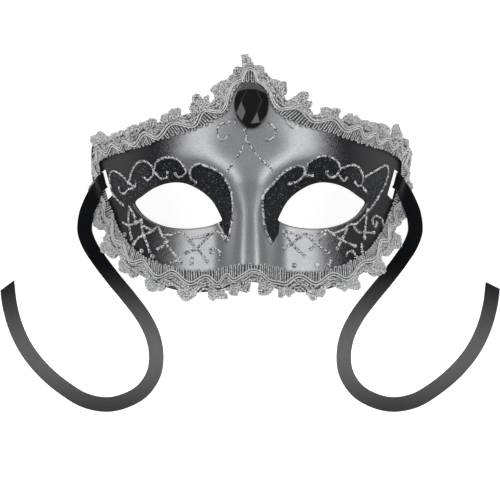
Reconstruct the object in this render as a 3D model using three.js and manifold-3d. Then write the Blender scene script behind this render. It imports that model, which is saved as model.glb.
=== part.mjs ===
// Venetian eye mask lying face up: a moulded shell with eye holes and temple slots, a lace braid
// glued round its edge, a faceted oval stone on the forehead and a satin ribbon at each temple.
// Millimetres. +Z is up and out of the front of the mask, +Y is towards the crown, +X is the
// right-hand side seen from the front. The floor is z = 0, and x = 0 is the line of the nose.
import * as THREE from 'three';
import { ConvexGeometry } from 'three/addons/geometries/ConvexGeometry.js';
import { ParametricGeometry } from 'three/addons/geometries/ParametricGeometry.js';
import { mergeVertices } from 'three/addons/utils/BufferGeometryUtils.js';
import Module from 'manifold-3d';

const wasm = await Module();
wasm.setup();

// Driving dimensions of the shell
const FOREHEAD_HEIGHT = 66.62;
const WALL = 1.6;
const SIDE_ROUNDING = 5.5;
const CROWN_LEVEL = 12;
const CROWN_FALL = 0.0042;
const CHEEK_FALL = 9;
const CHEEK_REACH = 30;

// How the form changes from the chin edge (first) to the crown (last)
const CROSS_CURVE = { y: [-48, 12], value: [250, 500] };
const SIDE_SLOPE = { y: [-50, -17, 8], value: [0.55, 1.2, 1.56] };
const SIDE_START = { y: [-50, -17, 8], value: [48, 45.5, 53] };
const NOSE_HEIGHT = { y: [-60, -45, -20, -4, 20, 58], value: [10, 10, 11.2, 10.5, 4.8, 2] };
const NOSE_WIDTH = { y: [-60, -45, -20, -4, 20, 58], value: [12.8, 12.6, 12, 19, 34, 50] };
const NOSE_FLATNESS = 2.7;
const BROW = { height: 1.4, y: 15, depth: 11, from: 14, to: 52, innerFade: 4, outerFade: 5 };
const SOCKET = { depth: 4, x: 36, y: -13, width: 20, height: 14 };

// Stations round the right half of the edge, from the crown to the chin, seen from the front:
// the shell's edge x, y and then the braid's inner edge x, y
const EDGE_STATIONS = [
  [0, 59.3, 0, 50.2],
  [5.2, 55.2, 5.2, 48.6],
  [9.6, 50.4, 8.6, 45],
  [14.4, 43.8, 11, 39],
  [18.9, 39, 13.4, 34.2],
  [25, 35.4, 18.6, 30.3],
  [34.2, 32.4, 28.6, 25.2],
  [47.3, 28.8, 42.6, 21],
  [60.5, 25.4, 57, 16.6],
  [72.4, 22.8, 69, 13.8],
  [80, 21.3, 78, 10.8],
  [84.2, 18.4, 79.6, 9.4],
  [84.9, 10.6, 79.6, 6.6],
  [84.3, 0.2, 78.9, 1],
  [82.1, -10.6, 76.6, -8.4],
  [79.4, -21.4, 73.2, -17.6],
  [75.2, -31.2, 70.6, -25],
  [70.9, -38.2, 67.1, -31.4],
  [64.7, -45.2, 62.1, -37.2],
  [58.6, -50.2, 56.6, -41.4],
  [51.6, -54.2, 50.7, -44.5],
  [44.3, -57, 43.8, -47.1],
  [35.6, -59.2, 35.9, -48.6],
  [26, -59.8, 26.5, -49.4],
  [18.4, -58.8, 18.7, -48.6],
  [12.4, -57.2, 11.9, -46.8],
  [6.6, -55.2, 6.4, -45.7],
  [0, -54.2, 0, -45.4],
];

// Right eye hole seen from the front, from the lower lid in over the inner corner, where two
// points lie close together so that the curve turns sharply
const EYE_LOWER_INNER = [[24.4, -25.8], [19.6, -24.6]];
const EYE_INNER_CORNER = [[14.96, -22.3], [14.9, -22.1]];
const EYE_UPPER = [[20, -12.4], [27.8, -6], [35.8, -3], [43.6, -3.4], [51.2, -6.1], [56.6, -9.4]];
const EYE_OUTER_CORNER = [61.3, -13.1];
const EYE_LOWER = [[59.2, -16.9], [56.4, -19.8], [51.2, -22.9], [43.4, -25.5], [33.6, -26.5]];
const EYE_LIP = 0.7;

// Slot for the ribbon in each temple, by its corners seen from the front: the shell is moulded in
// one pull along Z, so the slot's walls stand upright
const SLOT_CORNERS = [[73, -8.4], [75.7, -10.9], [79.35, 3.4], [76.9, 5.2]];
const SLOT_CUT_TOP = 40;

// Braid: its flat width at the tip of a plain leaf and between two leaves, and the least that each
// stands out over the shell's edge. Past the edge a leaf hangs less steeply than the shell would.
const BRAID_WIDTH = 13.5;
const BRAID_NECK = 8.9;
const TIP_OVERHANG = 4;
const NECK_OVERHANG = 0.4;
const BRAID_DROOP = 0.45;
const BRAID_THICKNESS = 1.3;
const BRAID_LIFT = 0.6;
const BRAID_SIDES = 8;

// Leaves in turn from the crown by the right-hand side: the length along the edge at which each
// starts and ends, and the braid's width at its tip
const LEAVES = [
  [-5.5, 1.6, 14.1], [2.1, 10.2, 10], [14.5, 26.5, 12.3], [29, 41, 16.4], [45.8, 58.3, 16.2],
  [59.7, 73, 15.7], [73.6, 87.8, 15.2], [88.6, 103.6, 15.6], [105.4, 118.6, 16.6], [119.4, 129, 9.8],
  [130, 142, 9.6], [145.5, 157, 14], [160, 170, 15.8], [170.4, 177, 10.6], [178.8, 190.6, 15.2],
  [191, 201.6, 12], [202.4, 216.6, 15.4], [223.4, 238.8, 14.6], [245.4, 256, 13.2],
  [262.5, 272.5, 12.8], [275.6, 285.6, 15.2], [289, 301.6, 14.8], [302.3, 315.7, 14.8],
  [320.7, 331.8, 13.8], [339.4, 352.8, 13.4], [358.2, 375.4, 12.8], [378.6, 396.6, 13.4],
  [401.4, 415.4, 15.6], [420.2, 429.8, 14.3], [432.8, 444.8, 9], [451.4, 470.8, 12.4],
  [472.8, 484.8, 9.6], [485.2, 493.8, 10.2], [494.2, 505.2, 11.2], [505.8, 517.8, 11.8],
  [520, 534, 13.6], [537.2, 550.2, 14.4], [552.2, 563.8, 11.6], [567.4, 572.6, 10.2],
];
// Part of a leaf's length over which each end widens, and the longest straight step along its tip
const LEAF_SHOULDER = 0.16;
const LONGEST_STEP = 7.8;
const SPLICE = { at: 551.2, gap: 0.35 };

// Stone: an 18 x 25 mm oval with a flat back, cut in large rhombs. The corners of its facets are
// x and y from its middle and height over its back.
const STONE = { x: 0.7, y: 36.8, width: 18, length: 25, girdle: 1.5, lift: 0.4 };
const GIRDLE_SIDES = 24;
const STONE_MIDDLE_CORNERS = [
  [0, 0.8, 4.8], [-2.1, 7.7, 4.4], [2.8, 7.6, 4.4], [-5.4, 1.2, 4.05], [5.4, 1.3, 4.05],
  [-3.1, -4.9, 4.4], [2.9, -4.9, 4.4],
];
const STONE_OUTER_CORNERS = [
  [-7, 7.5, 1.9], [-4.1, 10.3, 2.1], [0.3, 11.9, 1.9], [4.6, 9.9, 2.1], [7.2, 6.5, 1.9],
  [8.2, -3.1, 2.3], [7.5, -6.2, 2.3], [4.3, -10.1, 2.9], [-0.4, -11.1, 3.9], [-5, -9.5, 3.65],
  [-7.9, -4.9, 3.05],
];

// Ribbon: woven width, thickness, and the route of its middle on the right-hand side. It comes up
// through the slot and folds over the bar outside it, a little aslant. The first points are, from
// the place where it crosses the slot's outer edge, the distance outwards down the slope, the
// height over the shell's front face and the drift along the slot towards the chin.
const RIBBON_WIDTH = 8;
const RIBBON_THICKNESS = 0.8;
const RIBBON_STEPS_A_POINT = 2;
const RIBBON_CROSSING = { x: 78.1, y: -1, lean: 0.26 };
const RIBBON_ROUND_BAR = [
  [8.2, -2.5, -1.6],
  [6.2, -2.5, -1.4],
  [4.1, -2.5, -1.1],
  [2.2, -2.2, -0.8],
  [0.4, -1.2, -0.4],
  [-1.7, 0, 0],
  [-2.1, 1.2, 0.4],
  [-0.9, 2.3, 1],
  [0.8, 2.8, 1.7],
  [3, 2.9, 2.7],
];
// The rest runs down to the floor and along it, as x, y and height over the floor.
const RIBBON_RUN = [
  [82.4, -6.9, 9.7],
  [83.8, -9.8, 8],
  [85.6, -13.6, 5.6],
  [87.2, -17.6, 3.8],
  [88.2, -22.2, 2.3],
  [88.4, -28, 0.9],
  [85.8, -35.2, 0.6],
  [80.6, -43.2, 0.6],
  [73, -53.2, 0.6],
  [64.6, -63.4, 0.6],
  [57.2, -73.4, 0.6],
  [52, -84, 0.6],
  [50.2, -94.4, 0.6],
  [51.6, -104, 0.6],
  [57.6, -113, 0.6],
  [66.4, -118.2, 0.6],
  [76.4, -120.4, 0.6],
  [88.4, -118.2, 0.6],
  [99.8, -111.4, 0.6],
  [110.4, -102.4, 0.6],
  [119.2, -91.6, 0.6],
  [125.2, -79.6, 0.6],
  [128.6, -67.4, 0.6],
  [130, -56.6, 0.6],
];
// Points of the run over which the ribbon comes to lie level
const LEVEL = { from: -2, to: 2.6 };

const MERGE_WITHIN = 1e-4;
const up = new THREE.Vector3(0, 0, 1);

// A value that eases between the levels of a table, held level past both ends
function ease(table, y) {
  const last = table.y.length - 1;
  if (y <= table.y[0]) return table.value[0];
  for (let i = 0; i < last; i += 1) {
    if (y <= table.y[i + 1]) {
      const part = THREE.MathUtils.smoothstep(y, table.y[i], table.y[i + 1]);
      return THREE.MathUtils.lerp(table.value[i], table.value[i + 1], part);
    }
  }
  return table.value[last];
}

function bell(distance, reach) {
  return Math.exp(-((distance / reach) ** 2));
}

function softStep(distance, reach) {
  return 1 / (1 + Math.exp(-distance / reach));
}

// Height of the shell's front face over the point x, y
function frontHeight(x, y) {
  const side = Math.abs(x);
  const crown = y > CROWN_LEVEL
    ? CROWN_FALL * (y - CROWN_LEVEL) ** 2
    : CHEEK_FALL * (1 - bell(y - CROWN_LEVEL, CHEEK_REACH));
  const start = ease(SIDE_START, y);
  const bend = Math.log1p(Math.exp((side - start) / SIDE_ROUNDING))
    - Math.log1p(Math.exp(-start / SIDE_ROUNDING));
  const wrap = ease(SIDE_SLOPE, y) * SIDE_ROUNDING * bend + side ** 2 / ease(CROSS_CURVE, y);
  const nose = ease(NOSE_HEIGHT, y) * Math.exp(-((side / ease(NOSE_WIDTH, y)) ** NOSE_FLATNESS));
  const brow = BROW.height * bell(y - BROW.y, BROW.depth)
    * softStep(side - BROW.from, BROW.innerFade) * softStep(BROW.to - side, BROW.outerFade);
  const socket = SOCKET.depth * bell(side - SOCKET.x, SOCKET.width)
    * bell(y - SOCKET.y, SOCKET.height);
  return FOREHEAD_HEIGHT - crown - wrap + nose + brow - socket;
}

function frontNormal(x, y) {
  const step = 0.05;
  const alongX = (frontHeight(x + step, y) - frontHeight(x - step, y)) / (2 * step);
  const alongY = (frontHeight(x, y + step) - frontHeight(x, y - step)) / (2 * step);
  return new THREE.Vector3(-alongX, -alongY, 1).normalize();
}

// The point that stands off the front face by a distance, over x, y
function offFront(x, y, distance) {
  const point = new THREE.Vector3(x, y, frontHeight(x, y));
  return point.addScaledVector(frontNormal(x, y), distance);
}

// Edge of the shell and inner edge of the braid, closed curves that start at the crown and go
// round by the right-hand side
function closedEdge(first) {
  const right = EDGE_STATIONS.map((station) => new THREE.Vector3(station[first], station[first + 1], 0));
  const left = right.slice(1, -1).reverse().map((point) => new THREE.Vector3(-point.x, point.y, 0));
  return new THREE.CatmullRomCurve3([...right, ...left], true, 'centripetal');
}
const shellEdge = closedEdge(0);
const braidInner = closedEdge(2);

// The shell's edge as a curve in space, so that lengths along it are true lengths
class EdgeInSpace extends THREE.Curve {
  getPoint(t) {
    const flat = shellEdge.getPoint(t);
    return flat.setZ(frontHeight(flat.x, flat.y));
  }
}
const edgeInSpace = new EdgeInSpace();
edgeInSpace.arcLengthDivisions = 1200;

// A closed geometry with shared corners and no triangle of no width
function closedSolid(source, flip = false) {
  const geometry = source.clone();
  geometry.deleteAttribute('normal');
  geometry.deleteAttribute('uv');
  const merged = mergeVertices(geometry, MERGE_WITHIN);
  const kept = [];
  for (let i = 0; i < merged.index.count; i += 3) {
    const a = merged.index.getX(i);
    const b = merged.index.getX(i + 1);
    const c = merged.index.getX(i + 2);
    if (a !== b && b !== c && c !== a) kept.push(...(flip ? [a, c, b] : [a, b, c]));
  }
  merged.setIndex(kept);
  return merged;
}

function toManifold(geometry) {
  return new wasm.Manifold(new wasm.Mesh({
    numProp: 3,
    vertProperties: new Float32Array(geometry.attributes.position.array),
    triVerts: new Uint32Array(geometry.index.array),
  }));
}

function fromManifold(solid) {
  const mesh = solid.getMesh();
  const geometry = new THREE.BufferGeometry();
  geometry.setAttribute('position', new THREE.BufferAttribute(mesh.vertProperties, 3));
  geometry.setIndex(new THREE.BufferAttribute(mesh.triVerts, 1));
  geometry.computeVertexNormals();
  return geometry;
}

// Shell. Each half is a band round its eye hole: out over the front face from the hole to the
// edge, over the edge, back along the inner face and over the lip of the hole.
const AROUND_MIDDLE = 24;
const AROUND_CROWN = 22;
const AROUND_SIDE = 30;
const AROUND = AROUND_MIDDLE + AROUND_CROWN + AROUND_SIDE;
const ROWS = 6;
const CORNER_STATION = 11;

function eyeLoop() {
  const points = [
    ...EYE_LOWER_INNER, ...EYE_INNER_CORNER, ...EYE_UPPER, EYE_OUTER_CORNER, ...EYE_LOWER,
  ].map(([x, y]) => new THREE.Vector3(x, y, 0));
  return new THREE.CatmullRomCurve3(points, true, 'centripetal');
}
const eyeHole = eyeLoop();
const stationTotal = 2 * (EDGE_STATIONS.length - 1);

// Outline of the right half: up the middle from the chin to the crown, then round the edge
function halfOutline(step) {
  if (step <= AROUND_MIDDLE) {
    const chin = EDGE_STATIONS[EDGE_STATIONS.length - 1][1];
    const y = THREE.MathUtils.lerp(chin, EDGE_STATIONS[0][1], step / AROUND_MIDDLE);
    return new THREE.Vector3(0, y, 0);
  }
  if (step <= AROUND_MIDDLE + AROUND_CROWN) {
    const part = (step - AROUND_MIDDLE) / AROUND_CROWN;
    return shellEdge.getPoint(part * CORNER_STATION / stationTotal);
  }
  const part = (step - AROUND_MIDDLE - AROUND_CROWN) / AROUND_SIDE;
  return shellEdge.getPoint(THREE.MathUtils.lerp(CORNER_STATION / stationTotal, 0.5, part));
}

function halfShell() {
  const rows = 2 * ROWS + 3;
  const surface = (u, v, target) => {
    const step = Math.round(u * AROUND) % AROUND;
    const row = Math.round(v * rows) % rows;
    const outer = halfOutline(step);
    const hole = eyeHole.getPointAt(step / AROUND);
    const lip = hole.clone().lerp(outer, EYE_LIP / hole.distanceTo(outer));
    if (row === 0) {
      target.copy(offFront(hole.x, hole.y, -WALL / 2));
      return;
    }
    const front = row <= ROWS + 1;
    const part = (front ? row - 1 : rows - 1 - row) / ROWS;
    const point = lip.lerp(outer, Math.min(part, 1));
    target.copy(offFront(point.x, point.y, front ? 0 : -WALL));
  };
  return closedSolid(new ParametricGeometry(surface, AROUND, rows));
}

function facingOut(geometry) {
  const solid = toManifold(geometry);
  return solid.volume() > 0 ? geometry : closedSolid(geometry, true);
}

function mirrored(geometry) {
  return closedSolid(geometry.clone().scale(-1, 1, 1), true);
}

// A cutter through the shell at a temple slot
function slotCutter(side) {
  const shape = new THREE.Shape(SLOT_CORNERS.map(([x, y]) => new THREE.Vector2(x, y)));
  const settings = { depth: SLOT_CUT_TOP, bevelEnabled: false };
  const prism = new THREE.ExtrudeGeometry(shape, settings);
  return side > 0 ? closedSolid(prism) : mirrored(prism);
}

function maskShell() {
  const right = facingOut(halfShell());
  const cutters = [1, -1].map((side) => toManifold(slotCutter(side)));
  return fromManifold(toManifold(right).add(toManifold(mirrored(right)))
    .subtract(cutters[0]).subtract(cutters[1]));
}

// Braid. One length goes all round on top of the edge, with a row of leaves on its outer side. Its
// outline is a list of lengths along the edge and widths, from just past the splice round to it.
function braidOutline(total) {
  const outline = [];
  LEAVES.forEach(([start, end, tip]) => {
    const shoulder = LEAF_SHOULDER * (end - start);
    outline.push([start, BRAID_NECK], [start + shoulder, tip], [end - shoulder, tip], [end, BRAID_NECK]);
    if (end - start - 2 * shoulder > LONGEST_STEP) outline.push([(start + end) / 2, tip]);
  });
  const inTurn = outline.map(([along, width]) => [(along - SPLICE.at + total) % total, width])
    .sort((first, second) => first[0] - second[0]);
  return [[SPLICE.gap, BRAID_NECK], ...inTurn, [total - SPLICE.gap, BRAID_NECK]]
    .map(([along, width]) => [(along + SPLICE.at) % total, width]);
}

function braidSection(fraction, width) {
  const t = edgeInSpace.getUtoTmapping(fraction);
  const edge = shellEdge.getPoint(t);
  const inner = braidInner.getPoint(t);
  const outward = edge.clone().sub(inner);
  const onShell = offFront(edge.x, edge.y, 0).distanceTo(offFront(inner.x, inner.y, 0));
  const neck = onShell + Math.max(BRAID_NECK - onShell, NECK_OVERHANG);
  const tip = onShell + Math.max(BRAID_WIDTH - onShell, TIP_OVERHANG);
  const leaf = (width - BRAID_NECK) / (BRAID_WIDTH - BRAID_NECK);
  const reach = THREE.MathUtils.lerp(neck, tip, leaf) / onShell;
  return [0, 0.5, 1, reach].map((part) => inner.clone().addScaledVector(outward, part));
}

function offBraidLine(points, i, distance) {
  const point = offFront(points[i].x, points[i].y, distance);
  const edge = offFront(points[2].x, points[2].y, distance);
  if (i === 3) point.setZ(THREE.MathUtils.lerp(edge.z, point.z, BRAID_DROOP));
  return point;
}

function rimBraid() {
  const total = edgeInSpace.getLength();
  const outline = braidOutline(total);
  const slices = outline.length + 1;
  const surface = (u, v, target) => {
    const slice = Math.round(u * slices);
    const [along, width] = outline[THREE.MathUtils.clamp(slice - 1, 0, outline.length - 1)];
    const points = braidSection(along / total, width);
    const around = Math.round(v * BRAID_SIDES) % BRAID_SIDES;
    const low = around < BRAID_SIDES / 2;
    const corner = low ? around : BRAID_SIDES - 1 - around;
    target.copy(offBraidLine(points, corner, BRAID_LIFT + (low ? 0 : BRAID_THICKNESS)));
    if (slice === 0 || slice === slices) {
      const middle = points[0].lerp(points[3], 0.5);
      target.copy(offFront(middle.x, middle.y, BRAID_LIFT + BRAID_THICKNESS / 2));
    }
  };
  const braid = facingOut(closedSolid(new ParametricGeometry(surface, slices, BRAID_SIDES)));
  braid.computeVertexNormals();
  return braid;
}

// Stone. Its flat back stands square to the forehead.
function stone() {
  const points = [...STONE_MIDDLE_CORNERS, ...STONE_OUTER_CORNERS]
    .map(([x, y, height]) => new THREE.Vector3(x, y, height));
  for (let i = 0; i < GIRDLE_SIDES; i += 1) {
    const angle = 2 * Math.PI * (i + 0.5) / GIRDLE_SIDES;
    const x = Math.cos(angle) * STONE.width / 2;
    const y = Math.sin(angle) * STONE.length / 2;
    points.push(new THREE.Vector3(x, y, 0), new THREE.Vector3(x, y, STONE.girdle));
  }
  return new ConvexGeometry(points);
}

// Ribbon. A flat strip that keeps its width level with what it lies on.
class RibbonPath extends THREE.CatmullRomCurve3 {
  constructor(points, faces) {
    super(points, false, 'centripetal');
    this.faces = faces;
  }

  getSpacedPoints(steps) {
    return this.getPoints(steps);
  }

  computeFrenetFrames(steps) {
    const frames = { tangents: [], normals: [], binormals: [] };
    for (let i = 0; i <= steps; i += 1) {
      const place = (i / steps) * (this.faces.length - 1);
      const before = Math.min(Math.floor(place), this.faces.length - 2);
      const tangent = this.getTangent(i / steps);
      const face = this.faces[before].clone().lerp(this.faces[before + 1], place - before);
      const normal = face.addScaledVector(tangent, -face.dot(tangent)).normalize();
      frames.tangents.push(tangent);
      frames.normals.push(normal);
      frames.binormals.push(new THREE.Vector3().crossVectors(tangent, normal));
    }
    return frames;
  }
}

// Axes where the ribbon crosses the slot's edge: down the slope, along the slot and off the face
function crossingAxes() {
  const normal = frontNormal(RIBBON_CROSSING.x, RIBBON_CROSSING.y);
  const along = new THREE.Vector3(RIBBON_CROSSING.lean, 1, 0);
  along.setZ(-along.dot(normal) / normal.z).normalize();
  const outward = new THREE.Vector3().crossVectors(along, normal);
  return { outward, along, normal };
}

function ribbonPath(side) {
  const points = [];
  const faces = [];
  const { outward, along, normal } = crossingAxes();
  RIBBON_ROUND_BAR.forEach(([distance, height, drift], i) => {
    const x = RIBBON_CROSSING.x + distance * outward.x - drift * along.x;
    const y = RIBBON_CROSSING.y + distance * outward.y - drift * along.y;
    points.push(offFront(x, y, height));
    const before = RIBBON_ROUND_BAR[Math.max(i - 1, 0)];
    const after = RIBBON_ROUND_BAR[Math.min(i + 1, RIBBON_ROUND_BAR.length - 1)];
    const face = normal.clone().multiplyScalar(after[0] - before[0]);
    faces.push(face.addScaledVector(outward, before[1] - after[1]).normalize());
  });
  RIBBON_RUN.forEach(([x, y, z], i) => {
    points.push(new THREE.Vector3(x, y, z));
    const level = THREE.MathUtils.smoothstep(i, LEVEL.from, LEVEL.to);
    faces.push(normal.clone().lerp(up, level).normalize());
  });
  const flip = new THREE.Vector3(side, 1, 1);
  return new RibbonPath(points.map((p) => p.multiply(flip)), faces.map((f) => f.multiply(flip)));
}

function ribbon(side) {
  const wide = RIBBON_WIDTH / 2;
  const thick = RIBBON_THICKNESS / 2;
  const shape = new THREE.Shape([
    new THREE.Vector2(thick, -wide + thick), new THREE.Vector2(thick, wide - thick),
    new THREE.Vector2(thick / 2, wide), new THREE.Vector2(-thick / 2, wide),
    new THREE.Vector2(-thick, wide - thick), new THREE.Vector2(-thick, -wide + thick),
    new THREE.Vector2(-thick / 2, -wide), new THREE.Vector2(thick / 2, -wide),
  ]);
  const path = ribbonPath(side);
  const steps = (path.points.length - 1) * RIBBON_STEPS_A_POINT;
  return new THREE.ExtrudeGeometry(shape, { steps, extrudePath: path });
}

// Materials, from the colours in the photograph
const silverPaint = new THREE.MeshStandardMaterial({ color: 0x9b9ca0, metalness: 0.6, roughness: 0.45 });
const silverThread = new THREE.MeshStandardMaterial({ color: 0xa9aaab, metalness: 0.4, roughness: 0.5 });
const blackResin = new THREE.MeshStandardMaterial({ color: 0x0b0c0e, metalness: 0, roughness: 0.08 });
const blackSatin = new THREE.MeshStandardMaterial({ color: 0x141517, metalness: 0, roughness: 0.35 });

const mask = new THREE.Group();

function addPart(name, geometry, material) {
  const part = new THREE.Mesh(geometry, material);
  part.name = name;
  mask.add(part);
  return part;
}

addPart('mask_shell', maskShell(), silverPaint);
addPart('rim_braid', rimBraid(), silverThread);

const gem = addPart('gem', stone(), blackResin);
gem.position.copy(offFront(STONE.x, STONE.y, STONE.lift));
gem.quaternion.setFromUnitVectors(up, frontNormal(STONE.x, STONE.y));

addPart('ribbon_right', ribbon(1), blackSatin);
addPart('ribbon_left', ribbon(-1), blackSatin);

export default mask;
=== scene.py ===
# Venetian eye mask lying face up on a pale floor. Lengths in the sections below are millimetres,
# turned to metres where a point is made. +X is the right-hand side seen from the front, +Y is
# towards the crown and +Z is up, out of the painted front.
import math
import random

import bmesh
import bpy
import numpy as np
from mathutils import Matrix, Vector


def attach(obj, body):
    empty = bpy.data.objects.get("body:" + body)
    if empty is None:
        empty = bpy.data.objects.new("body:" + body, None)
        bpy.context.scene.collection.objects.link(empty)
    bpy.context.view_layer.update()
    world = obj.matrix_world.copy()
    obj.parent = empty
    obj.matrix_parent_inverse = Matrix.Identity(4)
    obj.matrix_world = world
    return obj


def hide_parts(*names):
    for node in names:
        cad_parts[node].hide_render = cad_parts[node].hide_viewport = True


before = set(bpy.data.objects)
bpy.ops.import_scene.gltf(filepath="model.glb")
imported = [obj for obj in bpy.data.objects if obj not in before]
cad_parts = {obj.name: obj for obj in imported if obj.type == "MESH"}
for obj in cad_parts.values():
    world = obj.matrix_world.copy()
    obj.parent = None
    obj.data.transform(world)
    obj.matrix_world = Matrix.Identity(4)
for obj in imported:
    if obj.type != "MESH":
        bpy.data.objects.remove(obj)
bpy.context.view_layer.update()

MM = 0.001

# Shell
# One thin moulding of black plastic with two eye holes and a slot in each temple, hollow behind.
# Its front is a height over x and y: a forehead that bends back at the temples, a brow over each
# eye, a shallow socket round it and a nose that opens at the chin.
FOREHEAD_HEIGHT = 66.62
WALL = 1.6
SIDE_ROUNDING = 5.5
CROSS_CURVE = ([-48, 12], [250, 500])
CROWN_LEVEL = 12
CROWN_FALL = 0.0042
CHEEK_FALL = 9
CHEEK_REACH = 30
SIDE_SLOPE = ([-50, -17, 8], [0.55, 1.2, 1.56])
SIDE_START = ([-50, -17, 8], [48, 45.5, 53])
NOSE_HEIGHT = ([-60, -45, -20, -4, 20, 58], [10, 10, 11.2, 10.5, 4.8, 2])
NOSE_WIDTH = ([-60, -45, -20, -4, 20, 58], [12.8, 12.6, 12, 19, 34, 50])
NOSE_FLATNESS = 2.7
BROW = {"height": 1.4, "y": 15, "depth": 11, "from": 14, "to": 52, "inner_fade": 4, "outer_fade": 5}
SOCKET = {"depth": 4, "x": 36, "y": -13, "width": 20, "height": 14}


def ease(levels, y):
    """A value that eases between the levels of a table, held level past both ends"""
    places, values = (np.array(row, float) for row in levels)
    y = np.clip(y, places[0], places[-1])
    i = np.clip(np.searchsorted(places, y) - 1, 0, len(places) - 2)
    part = (y - places[i]) / (places[i + 1] - places[i])
    part = part * part * (3 - 2 * part)
    return values[i] + (values[i + 1] - values[i]) * part


def bell(distance, reach):
    return np.exp(-((distance / reach) ** 2))


def soft_step(distance, reach):
    return 1 / (1 + np.exp(-distance / reach))


def front_height(x, y):
    """Height of the shell's front over the floor"""
    side = np.abs(x)
    crown = np.where(y > CROWN_LEVEL, CROWN_FALL * (y - CROWN_LEVEL) ** 2,
                     CHEEK_FALL * (1 - bell(y - CROWN_LEVEL, CHEEK_REACH)))
    start = ease(SIDE_START, y)
    bend = np.log1p(np.exp((side - start) / SIDE_ROUNDING)) - np.log1p(np.exp(-start / SIDE_ROUNDING))
    wrap = ease(SIDE_SLOPE, y) * SIDE_ROUNDING * bend + side ** 2 / ease(CROSS_CURVE, y)
    nose = ease(NOSE_HEIGHT, y) * np.exp(-(side / ease(NOSE_WIDTH, y)) ** NOSE_FLATNESS)
    brow = (BROW["height"] * bell(y - BROW["y"], BROW["depth"])
            * soft_step(side - BROW["from"], BROW["inner_fade"])
            * soft_step(BROW["to"] - side, BROW["outer_fade"]))
    socket = (SOCKET["depth"] * bell(side - SOCKET["x"], SOCKET["width"])
              * bell(y - SOCKET["y"], SOCKET["height"]))
    return FOREHEAD_HEIGHT - crown - wrap + nose + brow - socket


def front_normal(x, y):
    step = 0.05
    along_x = (front_height(x + step, y) - front_height(x - step, y)) / (2 * step)
    along_y = (front_height(x, y + step) - front_height(x, y - step)) / (2 * step)
    normal = np.stack([-along_x, -along_y, np.ones_like(along_x)], axis=-1)
    return normal / np.linalg.norm(normal, axis=-1, keepdims=True)


def off_front(x, y, distance):
    """Points, in millimetres, that stand off the front by a distance over x, y"""
    x = np.asarray(x, float)
    y = np.asarray(y, float)
    distance = np.asarray(distance, float)[..., None]
    return np.stack([x, y, front_height(x, y)], axis=-1) + front_normal(x, y) * distance


def curve_through(points, steps, closed):
    """Points of a smooth curve through the given ones, so many steps from each to the next"""
    points = np.array(points, float)
    total = len(points)
    if closed:
        padded = np.vstack([points[-1], points, points[:2]])
    else:
        padded = np.vstack([2 * points[0] - points[1], points, 2 * points[-1] - points[-2]])
    made = []
    for i in range(total if closed else total - 1):
        p0, p1, p2, p3 = padded[i:i + 4]
        d0, d1, d2 = (math.sqrt(max(np.linalg.norm(b - a), 1e-9)) for a, b in ((p0, p1), (p1, p2), (p2, p3)))
        start = ((p1 - p0) / d0 - (p2 - p0) / (d0 + d1) + (p2 - p1) / d1) * d1
        end = ((p2 - p1) / d1 - (p3 - p1) / (d1 + d2) + (p3 - p2) / d2) * d1
        for t in np.arange(steps) / steps:
            made.append((2 * t ** 3 - 3 * t ** 2 + 1) * p1 + (t ** 3 - 2 * t ** 2 + t) * start
                        + (3 * t ** 2 - 2 * t ** 3) * p2 + (t ** 3 - t ** 2) * end)
    if not closed:
        made.append(points[-1])
    return np.array(made)


def lengths_along(points):
    return np.concatenate([[0], np.cumsum(np.linalg.norm(np.diff(points, axis=0), axis=1))])


def evenly(points, count):
    """So many points spaced evenly along a line of points, both ends included"""
    lengths = lengths_along(points)
    places = np.linspace(0, lengths[-1], count)
    return np.stack([np.interp(places, lengths, points[:, k]) for k in range(points.shape[1])], axis=1)


# Stations round the right half of the edge, from the crown to the chin, seen from the front:
# the shell's edge x, y and then the braid's inner edge x, y
EDGE_STATIONS = [
    (0, 59.3, 0, 50.2), (5.2, 55.2, 5.2, 48.6), (9.6, 50.4, 8.6, 45), (14.4, 43.8, 11, 39),
    (18.9, 39, 13.4, 34.2), (25, 35.4, 18.6, 30.3), (34.2, 32.4, 28.6, 25.2), (47.3, 28.8, 42.6, 21),
    (60.5, 25.4, 57, 16.6), (72.4, 22.8, 69, 13.8), (80, 21.3, 78, 10.8), (84.2, 18.4, 79.6, 9.4),
    (84.9, 10.6, 79.6, 6.6), (84.3, 0.2, 78.9, 1), (82.1, -10.6, 76.6, -8.4),
    (79.4, -21.4, 73.2, -17.6), (75.2, -31.2, 70.6, -25), (70.9, -38.2, 67.1, -31.4),
    (64.7, -45.2, 62.1, -37.2), (58.6, -50.2, 56.6, -41.4), (51.6, -54.2, 50.7, -44.5),
    (44.3, -57, 43.8, -47.1), (35.6, -59.2, 35.9, -48.6), (26, -59.8, 26.5, -49.4),
    (18.4, -58.8, 18.7, -48.6), (12.4, -57.2, 11.9, -46.8), (6.6, -55.2, 6.4, -45.7),
    (0, -54.2, 0, -45.4)]
CORNER_STATION = 11
STEPS_A_STATION = 24


def closed_edge(first):
    right = [station[first:first + 2] for station in EDGE_STATIONS]
    left = [(-x, y) for x, y in reversed(right[1:-1])]
    return curve_through(right + left, STEPS_A_STATION, closed=True)


shell_edge = closed_edge(0)
braid_inner = closed_edge(2)

# Right eye hole seen from the front, from the lower lid in over the inner corner
EYE_HOLE = [(24.4, -25.8), (19.6, -24.6), (14.96, -22.3), (14.9, -22.1), (20, -12.4), (27.8, -6),
            (35.8, -3), (43.6, -3.4), (51.2, -6.1), (56.6, -9.4), (61.3, -13.1), (59.2, -16.9),
            (56.4, -19.8), (51.2, -22.9), (43.4, -25.5), (33.6, -26.5)]
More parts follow.
